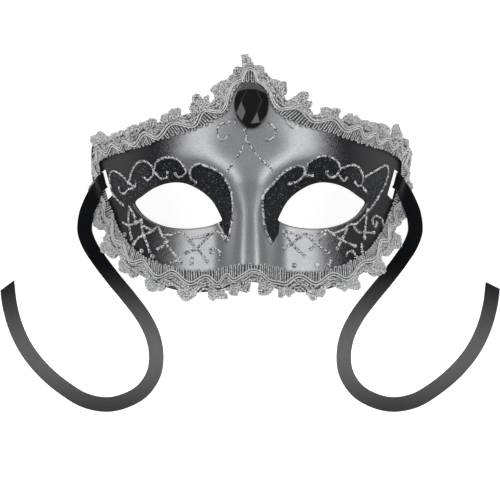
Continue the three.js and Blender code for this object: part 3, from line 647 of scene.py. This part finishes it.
# Outline of each fan, in the same lengths along and across
FANS = [
    [(-12, 8), (-11, 10.5), (-9, 10.3), (-6, 8.5)],
    [(-5, 8), (-5.5, 14.5), (-6, 15.7), (-4, 15.2), (-2, 15), (-0.5, 12), (1.5, 9.5), (2, 8)],
    [(2, 8), (4.5, 9), (8.5, 10), (10, 10), (10, 8), (8.5, 7)],
    [(14, 5.5), (16, 8), (18, 10), (20, 10.5), (21.5, 12.5), (22.7, 13.7), (24, 12), (25.5, 11),
     (26, 9.5), (25.5, 8)],
    [(29, 8), (29.5, 12), (30, 14), (29.7, 16.5), (31.5, 19), (33.5, 18.5), (35, 15), (37, 16),
     (39, 15.3), (39.8, 13.5), (39.7, 11.5), (41, 10), (43.5, 8.5), (45, 7.8)],
    [(46.5, 8), (47, 11), (45.3, 14), (47, 15.5), (49.5, 16.3), (50.5, 15), (52, 17), (54, 17.2),
     (56, 16), (56.5, 13.5), (57, 11.5), (58, 10.5)],
    [(60, 10), (59.8, 13), (61, 15.5), (62.5, 16.5), (64.5, 15), (67, 16.5), (70, 14.5), (73, 13.5),
     (74, 12)],
    [(73.5, 13), (74.5, 14.5), (77, 15.5), (81, 14.6), (84.5, 15.3), (87, 14.5), (87.5, 12), (87.3, 10)],
    [(90, 10), (89.5, 12), (88.3, 15), (92, 16.5), (96, 16), (100, 14.7), (102.5, 12.5), (103, 10),
     (104.5, 9)],
    [(107, 9), (106, 13), (105.3, 16), (107, 18.5), (111, 18.5), (113, 15), (117, 13), (118, 11),
     (118.8, 9)],
    [(119, 8), (119.4, 9.3), (122, 9.6), (125.5, 9.8), (127, 8.5), (129, 7)],
    [(128.5, 7), (131, 8), (133, 9.5), (137, 9), (140, 8), (142, 7.5)],
    [(146, 7.5), (148.5, 9), (149.5, 13), (151, 15), (154, 14), (156, 9)],
    [(160, 9), (163, 14), (164.5, 16.5), (166, 17), (168, 13), (169.5, 9.5)],
    [(169.5, 8), (171, 11), (173, 10), (175, 8), (177, 7.5)],
    [(180, 7.5), (180, 12), (178.5, 15), (180.5, 16), (182, 17.5), (184.5, 17), (187, 14.5), (189.5, 12),
     (191, 10)],
    [(191, 9), (190, 11.5), (193, 12.3), (196, 11.5), (199, 10), (200.5, 8.5), (202, 7.5)],
    [(202, 8), (203.5, 11), (202.5, 13), (204, 16.5), (206, 15.5), (209, 15), (213.5, 13.5), (215, 11.5),
     (216.5, 9), (219, 8.3)],
    [(224, 8.5), (224.5, 11), (223.5, 13), (224.5, 16.5), (226.5, 16), (229, 14), (232, 12.5),
     (234, 13.8), (236, 11.5), (238.5, 9.5), (239, 8.3)],
    [(245.5, 8.5), (246, 12), (247, 12.8), (248.7, 12.3), (249.7, 11), (250.5, 14), (252.5, 14.3),
     (253.7, 13), (254.2, 11.5), (256, 9.5), (255.5, 8.5)],
    [(262, 8.5), (263.9, 10), (264.4, 12), (266.3, 12.2), (267.2, 10.5), (268.5, 11), (269.4, 13.5),
     (270.8, 14.5), (272.1, 13.5), (271.7, 10), (272.1, 8.5)],
    [(275.3, 8.5), (277.6, 12), (279.5, 14.5), (281.5, 16), (284.4, 16), (285.4, 14.5), (285.2, 11),
     (284.9, 9)],
    [(288.9, 9), (289.4, 12), (289.9, 14), (291.9, 14.5), (293.4, 13), (295.4, 14), (295.9, 16.5),
     (297.4, 16), (299.3, 15), (300.7, 13), (300.3, 11.5), (302.2, 10.5), (304, 10.3)],
    [(304.9, 10.5), (304, 12), (302.3, 14.5), (302.2, 16.3), (304.9, 15.8), (307.6, 15), (309.4, 14),
     (312.1, 15), (314.5, 13.5), (315.4, 11), (314.9, 8.5)],
    [(320.9, 8.5), (321.8, 10.5), (323.8, 12.5), (325.3, 14), (327.8, 14.8), (329.8, 13.5),
     (331.3, 11), (331.8, 9.5), (330.8, 8.5)],
    [(338.8, 9), (340.3, 11.5), (342.3, 12.3), (343.8, 12), (345.3, 14), (346.8, 14.8), (349.8, 14.5),
     (351.3, 12.5), (350.8, 11.5), (352.8, 10.5), (352.3, 9), (351.3, 8.3)],
    [(357.8, 8.5), (358.8, 10.5), (360.8, 12), (363.3, 12.5), (365.3, 11), (366.8, 12.5),
     (369.8, 13.5), (372.3, 13.5), (374.3, 12), (375.3, 10.5), (374.3, 9), (375.3, 8)],
    [(378.3, 8.5), (379.3, 11), (381.8, 12.5), (385.3, 13.5), (387.8, 14), (389.8, 16), (393.3, 16.5),
     (394.8, 14), (393.3, 12.5), (395.8, 11.5), (396.3, 9), (396.3, 7)],
    [(401.3, 8), (402.8, 11), (404.3, 14.5), (405.8, 13.5), (406.8, 16.5), (408.8, 18.3), (412.3, 15),
     (413.8, 12), (414.8, 9), (415.8, 7)],
    [(419.8, 6), (420.8, 11), (422.3, 14), (425.8, 14.5), (427.8, 11), (429.8, 6)],
    [(432.8, 4), (433.8, 6), (435.8, 6.7), (438.8, 5.8), (442.8, 5.3), (445.8, 4.5)],
    [(453.8, 6.5), (451.8, 8.5), (451.1, 11), (452.3, 13), (455.3, 12.8), (458.3, 12), (461.8, 13),
     (464.3, 13), (466.8, 11.5), (468.3, 10), (469.8, 9), (472.8, 8)],
    [(472.8, 8), (476.8, 9.3), (480.8, 9.5), (483.8, 8.5)],
    [(483.8, 8), (485.3, 10.5), (487.8, 10.2), (491.8, 8.5)],
    [(491.8, 8), (493.8, 10.5), (495.3, 11.5), (497.8, 10.8), (500.8, 11.8), (502.8, 11.5), (504.8, 8.8)],
    [(504.8, 8.8), (506.8, 11.5), (509.8, 11), (511.8, 11.2), (514.8, 12.3), (517.3, 12),
     (518.3, 10.5), (517.3, 9), (516.8, 8)],
    [(519.8, 8), (521.3, 11), (523.8, 12.5), (525.8, 12.3), (527.3, 13.5), (528.8, 14.5), (531.3, 15),
     (533.3, 14), (533.8, 12.5), (532.3, 10.5), (531.3, 8.5)],
    [(537.3, 8), (537.8, 11), (539.8, 13), (542.8, 14), (543.3, 15.5), (544.8, 17), (547.3, 17),
     (547.8, 15), (547.3, 12.5), (549.8, 12.5), (550.8, 11.8), (549.3, 10), (547.3, 8)],
    [(551.8, 7), (552.8, 10), (552.8, 12.5), (554.8, 12.5), (557.8, 11), (560.8, 9.5), (562.3, 7.5),
     (564.8, 6)]]
FAN_POINTS = 24
FAN_ROOT = 1.1
FAN_STEPS = 6
MOUND = 1.1

fan_edges = []
for fan in FANS:
    rooted = [(fan[0][0], fan[0][1] - FAN_ROOT), *fan, (fan[-1][0], fan[-1][1] - FAN_ROOT)]
    fan_edges.append(evenly(curve_through(rooted, FAN_STEPS, closed=False), FAN_POINTS + 1))

# Ground of the braid: a thin band of thread that the rest is worked on, and under each fan a pad raised in
# the middle. Both are dark, partly as painted shade that shows in the gaps between the threads above them.
GROUND_STEPS = 440
GROUND_COLUMNS = 10
GROUND_FROM = 0.7
GROUND_THICKNESS = 0.4
UNDER_CORDS = 0.5
PAD_COLUMNS = 4

bm = bmesh.new()
under_comb = bm.verts.layers.float.new("under_comb")
verts, grid = add_grid(bm, GROUND_STEPS, GROUND_COLUMNS)
along = grid[:, 0] * BRAID_LENGTH
start = ease(COMB_EDGE, along) + GROUND_FROM
across = start + grid[:, 1] * (ease(ROWS_EDGE, along) - start)
place_all(verts, on_braid(along, across, LIFT))
for vert, shade in zip(verts, np.clip(wave(along) - across + UNDER_CORDS, 0, 1)):
    vert[under_comb] = shade
for edge_points in fan_edges:
    verts, grid = add_grid(bm, FAN_POINTS, PAD_COLUMNS)
    foot = (edge_points[0] + edge_points[-1]) / 2
    flat = foot + (edge_points[np.rint(grid[:, 0] * FAN_POINTS).astype(int)] - foot) * grid[:, 1:]
    place_all(verts, on_braid(flat[:, 0], flat[:, 1], LIFT + MOUND * (1 - grid[:, 1])))
bmesh.ops.remove_doubles(bm, verts=bm.verts, dist=TOUCHING)
ground = finish_mesh(bm, "braid_ground_shade")
ground.data.shade_smooth()
thickness = ground.modifiers.new("thickness", "SOLIDIFY")
thickness.thickness = GROUND_THICKNESS * MM
thickness.offset = 0
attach(ground, "root")
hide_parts("rim_braid")

# Matt, uneven ground, dark, and an even grey under the comb's loops: its darkness is partly the ground
# thread's own and partly painted shade for the gaps between the threads. Its
# unevenness is drawn at 0.6 mm, coarser than the thread, so that it shows.
GROUND_FUZZ = 0.6 * MM

ground_shade_material, tree, surface = start_material("ground_thread_painted_shade")
place = add_node(tree, "TexCoord", {})["Object"]
fuzz = add_node(tree, "TexNoise", {"Vector": place, "Scale": 1 / GROUND_FUZZ})
comb_node = add_node(tree, "Attribute", {}, attribute_name="under_comb")
colour = add_node(tree, "Mix", {0: fuzz["Fac"], 6: linear("#2a2b2d"), 7: linear("#757678")},
                  data_type="RGBA")
colour = add_node(tree, "Mix", {0: comb_node["Fac"], 6: colour[2], 7: linear("#545557")},
                  data_type="RGBA")
set_inputs(surface, {"Base Color": colour[2], "Roughness": 0.8})
ground.data.materials.append(ground_shade_material)

# Comb of loops along the inner edge: each is one thread, out from the wave, round and back
COMB = {"pitch": 2.8, "half": 0.72, "bend": 0.8, "shortest_leg": 0.3, "past_cords": 0.3,
        "wander_along": 0.3, "wander_across": 0.4, "narrowest": 0.85, "widest": 1.1}
LEG_POINTS = 4
BEND_DEGREES = [150, 120, 90, 60, 30]
THREAD_RADIUS = 0.32
THREAD_LIFT = LIFT + 0.55
LIFT_SPREAD = (-0.1, 0.15)
# One thread has come loose on the forehead's right and lies on the paint
LOOSE_THREAD = [(18.2, 31.5), (18.9, 29.1), (19.4, 27.6), (20.6, 26.9), (21.4, 25.8), (22.4, 25.5)]
LOOSE_LIFT = 0.4
LOOSE_WIDE = 1.7

comb_lines = []
loop_total = round(BRAID_LENGTH / COMB["pitch"])
for k in range(loop_total):
    centre = (k + 0.5) * BRAID_LENGTH / loop_total
    centre += chance.uniform(-COMB["wander_along"], COMB["wander_along"])
    start = float(ease(COMB_EDGE, centre)) + COMB["bend"]
    start += chance.uniform(-COMB["wander_across"], COMB["wander_across"])
    leg_foot = max(float(wave(centre)) - COMB["past_cords"], start + COMB["shortest_leg"])
    leg = np.linspace(leg_foot, start, LEG_POINTS)
    half = COMB["half"] * chance.uniform(COMB["narrowest"], COMB["widest"])
    bend = np.radians(BEND_DEGREES)
    out_leg = np.full(LEG_POINTS, centre - half)
    back_leg = np.full(LEG_POINTS, centre + half)
    alongs = np.concatenate([out_leg, centre + half * np.cos(bend), back_leg])
    acrosses = np.concatenate([leg, start - COMB["bend"] * np.sin(bend), leg[::-1]])
    lifts = THREAD_LIFT + chance.uniform(*LIFT_SPREAD) + np.zeros(len(alongs))
    comb_lines.append((on_braid(alongs, acrosses, lifts), np.ones(len(alongs))))
fray = np.array(LOOSE_THREAD)
comb_lines.append((off_front(fray[:, 0], fray[:, 1], LOOSE_LIFT) * MM, np.full(len(fray), LOOSE_WIDE)))
comb = threads("braid_comb", comb_lines, THREAD_RADIUS * MM, THREAD_SIDES)

# Two smooth cords side by side that wave between the comb and the fans
CORD_RADIUS = 0.35
CORD_APART = 0.56
CORD_STEP = 0.55
CORD_LIFT = LIFT + 1.4
CORD_SIDES = 8

cord_along = np.arange(SPLICE["at"] - SPLICE["lap"], SPLICE["at"] + SPLICE["lap"] + BRAID_LENGTH, CORD_STEP)
wave_slope = np.gradient(wave(cord_along), CORD_STEP)
square = np.sqrt(1 + wave_slope ** 2)
cord_lines = []
for offset in (-CORD_APART, CORD_APART):
    alongs = cord_along - wave_slope / square * offset
    acrosses = wave(cord_along) + offset / square
    cord_lines.append((on_braid(alongs, acrosses, CORD_LIFT), np.ones(len(alongs))))
cords = threads("braid_cords", cord_lines, CORD_RADIUS * MM, CORD_SIDES)

# Beaded thread: a core wound so that it swells every millimetre and a half. Rows of it follow the
# wave, and loops of it, each inside the last, make the fans.
BEAD = 1.5
BEAD_WIDE = 0.65
BEAD_SWELL = (0.24, 0.85, 1, 0.85)
BEAD_WANDER = 0.3
BEAD_SPREAD = (0.9, 1.1)
ROWS = 9
ROWS_FROM = 1.6
ROWS_PAST_EDGE = 0.2
SHORTEST_ROW = 5
ROW_APART = 1.15
ROW_SWAY = 0.35
SWAY_STEP = 9
SWAY_LIFT = 0.5


def beaded(line):
    """A beaded thread through rows of along, across and lift, as a line for threads"""
    swell_steps = len(BEAD_SWELL)
    count = max(swell_steps * round(lengths_along(line)[-1] / BEAD), swell_steps)
    line = evenly(line, count + 1)
    wander = np.array([[chance.uniform(-1, 1) for _ in range(3)] for _ in line[::swell_steps]]) * BEAD_WANDER
    line = line + np.repeat(wander, swell_steps, axis=0)[:len(line)]
    widths = [BEAD_SWELL[i % swell_steps] * chance.uniform(*BEAD_SPREAD) for i in range(len(line))]
    return on_braid(line[:, 0], line[:, 1], line[:, 2]), widths


row_lines = []
for row in range(ROWS):
    sways = [chance.uniform(-ROW_SWAY, ROW_SWAY) for _ in cord_along[::SWAY_STEP]]
    sway = np.interp(np.arange(len(cord_along)), np.arange(len(sways)) * SWAY_STEP, sways)
    acrosses = wave(cord_along) + ROWS_FROM + ROW_APART * row + sway
    kept = acrosses < ease(ROWS_EDGE, cord_along % BRAID_LENGTH) + ROWS_PAST_EDGE
    for run in np.split(np.arange(len(kept)), np.flatnonzero(np.diff(kept)) + 1):
        if kept[run[0]] and len(run) >= SHORTEST_ROW:
            lift = THREAD_LIFT + SWAY_LIFT * sway[run]
            row_lines.append(beaded(np.column_stack([cord_along[run], acrosses[run], lift])))
rows = threads("braid_rows", row_lines, BEAD_WIDE * MM, THREAD_SIDES)

fan_lines = []
for edge_points in fan_edges:
    foot = (edge_points[0] + edge_points[-1]) / 2
    loops = max(round(np.max(np.linalg.norm(edge_points - foot, axis=1)) / ROW_APART), 2)
    for share in (np.arange(loops) + 0.5) / loops:
        flat = foot + (edge_points - foot) * share
        lift = np.full(len(flat), THREAD_LIFT + MOUND * (1 - share) + chance.uniform(*LIFT_SPREAD))
        fan_lines.append(beaded(np.column_stack([flat, lift])))
fans = threads("braid_fans", fan_lines, BEAD_WIDE * MM, THREAD_SIDES)

# Thread of polyester wrapped with metallised film, white and grey in random patches.
# The winding is drawn at 0.7 mm, coarser than the film's, so that it shows.
WINDING = 0.7 * MM

thread, tree, surface = start_material("metallised_thread")
place = add_node(tree, "TexCoord", {})["Object"]
winding = add_node(tree, "TexNoise", {"Vector": place, "Scale": 1 / WINDING, "Detail": 3})
spread = add_node(tree, "MapRange", {"Value": winding["Fac"], "From Min": 0.35, "From Max": 0.65})
colour = add_node(tree, "Mix", {0: spread[0], 6: linear("#85868a"), 7: linear("#ffffff")},
                  data_type="RGBA")
relief = add_node(tree, "Bump", {"Height": winding["Fac"], "Strength": 0.5, "Distance": 0.2 * MM})
set_inputs(surface, {"Base Color": colour[2], "Metallic": 0.25, "Roughness": 0.4, "Normal": relief[0]})

# Gimp cord: the same film wound flat and close over a cotton core, so it is smoother and brighter.
# Its turns are drawn at 0.8 mm, coarser than they are, so that they show.
GIMP_WINDING = 0.8 * MM

gimp, tree, surface = start_material("metallised_gimp_cord")
place = add_node(tree, "TexCoord", {})["Object"]
wound = add_node(tree, "TexNoise", {"Vector": place, "Scale": 1 / GIMP_WINDING, "Detail": 2})
colour = add_node(tree, "Mix", {0: wound["Fac"], 6: linear("#c9cacc"), 7: linear("#ffffff")},
                  data_type="RGBA")
set_inputs(surface, {"Base Color": colour[2], "Metallic": 0.1, "Roughness": 0.3})
for piece, made_of in ((comb, thread), (cords, gimp), (rows, thread), (fans, thread)):
    piece.data.materials.append(made_of)
    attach(piece, "root")

# Stone
# An 18 x 25 mm oval of black acrylic, moulded with flat facets, polished and glued to the forehead.
# The corners of its facets are x and y from its middle and height over its back.
STONE = {"x": 0.7, "y": 36.8, "width": 18, "length": 25, "girdle": 1.5, "lift": 0.4}
GIRDLE_SIDES = 24
FACET_CORNERS = [
    (0, 0.8, 4.8), (-2.1, 7.7, 4.4), (2.8, 7.6, 4.4), (-5.4, 1.2, 4.05), (5.4, 1.3, 4.05),
    (-3.1, -4.9, 4.4), (2.9, -4.9, 4.4), (-7, 7.5, 1.9), (-4.1, 10.3, 2.1), (0.3, 11.9, 1.9),
    (4.6, 9.9, 2.1), (7.2, 6.5, 1.9), (8.2, -3.1, 2.3), (7.5, -6.2, 2.3), (4.3, -10.1, 2.9),
    (-0.4, -11.1, 3.9), (-5, -9.5, 3.65), (-7.9, -4.9, 3.05)]
FACET_EDGE = 0.12
FLAT_WITHIN = 1
FACET_EDGE_STEPS = 2

bm = bmesh.new()
for i in range(GIRDLE_SIDES):
    angle = 2 * math.pi * (i + 0.5) / GIRDLE_SIDES
    x = math.cos(angle) * STONE["width"] / 2
    y = math.sin(angle) * STONE["length"] / 2
    for height in (0, STONE["girdle"]):
        bm.verts.new(Vector((x, y, height)) * MM)
for corner_place in FACET_CORNERS:
    bm.verts.new(Vector(corner_place) * MM)
bmesh.ops.convex_hull(bm, input=bm.verts)
bmesh.ops.dissolve_limit(bm, angle_limit=math.radians(FLAT_WITHIN), verts=bm.verts, edges=bm.edges)
bmesh.ops.bevel(bm, geom=bm.edges[:], offset=FACET_EDGE * MM, offset_type="OFFSET",
                segments=FACET_EDGE_STEPS, profile=0.5, affect="EDGES", material=-1)
stone_normal = Vector(front_normal(STONE["x"], STONE["y"]))
stone_place = Vector((0, 0, 1)).rotation_difference(stone_normal).to_matrix().to_4x4()
stone_place.translation = Vector(off_front(STONE["x"], STONE["y"], STONE["lift"])) * MM
bmesh.ops.transform(bm, matrix=stone_place, verts=bm.verts)
bmesh.ops.recalc_face_normals(bm, faces=bm.faces)
stone = finish_mesh(bm, "stone")
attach(stone, "root")
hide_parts("gem")

# Black cast acrylic, flame polished: nearly a mirror, with the faintest haze from handling
HAZE = 3.33 * MM

acrylic, tree, surface = start_material("polished_black_acrylic")
place = add_node(tree, "TexCoord", {})["Object"]
haze = add_node(tree, "TexNoise", {"Vector": place, "Scale": 1 / HAZE, "Detail": 3})
colour = add_node(tree, "Mix", {0: haze["Fac"], 6: linear("#08090b"), 7: linear("#0e0f12")},
                  data_type="RGBA")
gloss = add_node(tree, "MapRange", {"Value": haze["Fac"], "To Min": 0.04, "To Max": 0.1})
set_inputs(surface, {"Base Color": colour[2], "Roughness": gloss[0]})
stone.data.materials.append(acrylic)

# Ribbons
# Two lengths of 8 mm black polyester satin. Each is taken in through the temple slot, its tail
# glued down behind, and then runs over the braid and down to the floor, where it lies in an S.
RIBBON_WIDTH = 8
RIBBON_THICKNESS = 0.45
# Where it crosses the slot's outer edge, a little aslant. The points round the bar are, from there,
# distance down the slope, height over the front and drift along the slot towards the chin.
CROSSING = {"x": 78.1, "y": -1, "lean": 0.26}
ROUND_BAR = [(8.2, -2.5, -1.6), (6.2, -2.5, -1.4), (4.1, -2.5, -1.1), (2.2, -2.2, -0.8), (0.4, -1.2, -0.4),
             (-1.7, 0, 0), (-2.1, 1.2, 0.4), (-0.9, 2.3, 1), (0.8, 2.8, 1.7), (3, 2.9, 2.7)]
# Down to the floor and along it, as x, y and height over the floor
RUN = [(82.4, -6.9, 9.7), (83.8, -9.8, 8), (85.6, -13.6, 5.6), (87.2, -17.6, 3.8), (88.2, -22.2, 2.3),
       (88.4, -28, 0.9), (85.8, -35.2, 0.6),
       (80.6, -43.2, 0.6), (73, -53.2, 0.6), (64.6, -63.4, 0.6), (57.2, -73.4, 0.6), (52, -84, 0.6),
       (50.2, -94.4, 0.6), (51.6, -104, 0.6), (57.6, -113, 0.6), (66.4, -118.2, 0.6),
       (76.4, -120.4, 0.6), (88.4, -118.2, 0.6), (99.8, -111.4, 0.6), (110.4, -102.4, 0.6),
       (119.2, -91.6, 0.6), (125.2, -79.6, 0.6), (128.6, -67.4, 0.6), (130, -56.6, 0.6)]
# The ribbon's face turns from the slope's to level over the first points of the run
LEVEL = ([-2, 2.6], [0, 1])
STEPS_A_POINT = 8
COLUMNS_ACROSS = 6
SHARP_ANGLE = 40
END_CUT = {1: 0.34, -1: 0.57}
END_CUT_OVER = 12

crossing_normal = Vector(front_normal(CROSSING["x"], CROSSING["y"]))
along_slot = Vector((CROSSING["lean"], 1, 0))
along_slot.z = -along_slot.dot(crossing_normal) / crossing_normal.z
along_slot.normalize()
down_slope = along_slot.cross(crossing_normal)
route = []
facing = []
for i, (distance, height, drift) in enumerate(ROUND_BAR):
    flat = Vector((CROSSING["x"], CROSSING["y"], 0)) + distance * down_slope - drift * along_slot
    route.append(off_front(flat.x, flat.y, height))
    before = ROUND_BAR[max(i - 1, 0)]
    after = ROUND_BAR[min(i + 1, len(ROUND_BAR) - 1)]
    face = crossing_normal * (after[0] - before[0]) + down_slope * (before[1] - after[1])
    facing.append(face.normalized())
for i, point in enumerate(RUN):
    route.append(np.array(point, float))
    facing.append(crossing_normal.lerp(Vector((0, 0, 1)), float(ease(LEVEL, i))).normalized())
route_line = curve_through(route, STEPS_A_POINT, closed=False)
facing_line = np.stack([np.interp(np.arange(len(route_line)) / STEPS_A_POINT, np.arange(len(facing)),
                                  np.array(facing)[:, k]) for k in range(3)], axis=1)

satin, tree, surface = start_material("black_polyester_satin")

for side_name, side_sign in (("ribbon_right_satin", 1), ("ribbon_left_satin", -1)):
    flip = np.array([side_sign, 1, 1])
    line = route_line * flip
    faces = facing_line * flip
    tangents = np.gradient(line, axis=0)
    tangents /= np.linalg.norm(tangents, axis=1, keepdims=True)
    faces = faces - np.sum(faces * tangents, axis=1, keepdims=True) * tangents
    faces /= np.linalg.norm(faces, axis=1, keepdims=True)
    sideways = np.cross(tangents, faces)
    lengths = lengths_along(line)
    bm = bmesh.new()
    uv = bm.loops.layers.uv.new("weave")
    verts, grid = add_grid(bm, len(line) - 1, COLUMNS_ACROSS)
    at = np.rint(grid[:, 0] * (len(line) - 1)).astype(int)
    share = grid[:, 1] * 2 - 1
    near_end = np.clip(1 - (lengths[-1] - lengths[at]) / END_CUT_OVER, 0, 1)
    cut_back = -near_end * END_CUT[side_sign] * share * side_sign
    points = (line[at] + sideways[at] * (share * RIBBON_WIDTH / 2)[:, None]
              + tangents[at] * (cut_back * RIBBON_WIDTH / 2)[:, None])
    place_all(verts, points * MM)
    woven = {v: (share[i] / 2 + 0.5, lengths[at[i]] / RIBBON_WIDTH) for i, v in enumerate(verts)}
    for face in bm.faces:
        for loop in face.loops:
            loop[uv].uv = woven[loop.vert]
    bmesh.ops.recalc_face_normals(bm, faces=bm.faces)
    strip = finish_mesh(bm, side_name)
    strip.data.shade_smooth()
    thickness = strip.modifiers.new("thickness", "SOLIDIFY")
    thickness.thickness = RIBBON_THICKNESS * MM
    thickness.offset = 0
    strip.data = mesh_as_seen(strip)
    strip.modifiers.clear()
    strip.data.set_sharp_from_angle(angle=math.radians(SHARP_ANGLE))
    strip.data.materials.append(satin)
    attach(strip, "root")
    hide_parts("ribbon_right" if side_sign > 0 else "ribbon_left")

# Warp-faced satin: fine lines along its length carry the sheen, and the edges are woven flat. Real
# warp threads are about 0.1 mm apart, and the lines are drawn three times coarser so that they show.
WARP_LINES = 26
WEFT_LINES = 3

weave = add_node(tree, "UVMap", {}, uv_map="weave")
fine = add_node(tree, "Mapping", {"Vector": weave[0], "Scale": (WARP_LINES, WEFT_LINES, 1)})
warp = add_node(tree, "TexNoise", {"Vector": fine[0], "Scale": 1, "Detail": 2})
colour = add_node(tree, "Mix", {0: warp["Fac"], 6: linear("#101114"), 7: linear("#18191c")},
                  data_type="RGBA")
relief = add_node(tree, "Bump", {"Height": warp["Fac"], "Strength": 0.3, "Distance": 0.1 * MM})
set_inputs(surface, {"Base Color": colour[2], "Roughness": 0.3, "Specular IOR Level": 0.06,
                     "Normal": relief[0]})

# Studio
# A plain white floor lit from below like a light table, a long soft strip light on each side of the
# camera, a narrow oval spot on the loop of each ribbon, and a camera straight over the mask. Lengths
# in this section are metres.
FLOOR_HALF = 3
FLOOR_GLOW = 0.88
STRIP = {"x": 0.8, "y": 0.9, "z": 1.4, "width": 0.46, "length": 3.2, "left": 13, "right": 14}
RIBBON_SPOT = {"x": 0.085, "y": -0.093, "z": 3, "angle": 1.22, "blend": 0.75, "stretch": 4, "power": 360,
               "radius": 0.02}
SKY_TOP = 0.22
SKY_HORIZON = 0.16
SKY_TOP_FROM = 0.8

bm = bmesh.new()
bmesh.ops.create_grid(bm, x_segments=1, y_segments=1, size=FLOOR_HALF)
floor = finish_mesh(bm, "floor")
floor_material, tree, surface = start_material("white_floor")
set_inputs(surface, {"Base Color": linear("#c8c8c8"), "Roughness": 0.9, "Specular IOR Level": 0,
                     "Emission Color": linear("#ffffff"), "Emission Strength": FLOOR_GLOW})
floor.data.materials.append(floor_material)

for name, side_sign in (("left", -1), ("right", 1)):
    lamp = bpy.data.lights.new(name + "_strip", "AREA")
    lamp.shape = "RECTANGLE"
    lamp.size = STRIP["length"]
    lamp.size_y = STRIP["width"]
    lamp.energy = STRIP[name]
    strip_light = add_object(name + "_strip", lamp)
    strip_light.location = (side_sign * STRIP["x"], STRIP["y"], STRIP["z"])
    inward = Vector((-side_sign * STRIP["x"], 0, -STRIP["z"]))
    strip_light.rotation_euler = inward.to_track_quat("-Z", "Y").to_euler()
    lamp = bpy.data.lights.new(name + "_ribbon_spot", "SPOT")
    lamp.spot_size = math.radians(RIBBON_SPOT["angle"])
    lamp.spot_blend = RIBBON_SPOT["blend"]
    lamp.energy = RIBBON_SPOT["power"]
    lamp.shadow_soft_size = RIBBON_SPOT["radius"]
    spot = add_object(name + "_ribbon_spot", lamp)
    spot.location = (side_sign * RIBBON_SPOT["x"], RIBBON_SPOT["y"], RIBBON_SPOT["z"])
    spot.scale = (RIBBON_SPOT["stretch"], 1, 1)

world = bpy.data.worlds.new("studio")
world.use_nodes = True
tree = world.node_tree
way_up = add_node(tree, "TexCoord", {})["Generated"]
upward = add_node(tree, "SeparateXYZ", {0: way_up})["Z"]
sky = add_node(tree, "MapRange", {"Value": upward, "From Min": 0, "From Max": SKY_TOP_FROM,
                                            "To Min": SKY_HORIZON, "To Max": SKY_TOP})
set_inputs(tree.nodes["Background"], {"Color": (1, 1, 1, 1), "Strength": sky[0]})
bpy.context.scene.world = world
bpy.context.scene.view_settings.view_transform = "Standard"

CAMERA_HEIGHT = 2.06
CAMERA_Y = -0.0377
VIEW_WIDTH = 0.26
VIEW_DISTANCE = 2.0
SENSOR = 36

camera_data = bpy.data.cameras.new("camera")
camera_data.sensor_width = SENSOR
camera_data.lens = SENSOR * VIEW_DISTANCE / VIEW_WIDTH
camera = add_object("camera", camera_data)
camera.location = (0, CAMERA_Y, CAMERA_HEIGHT)
bpy.context.scene.camera = camera
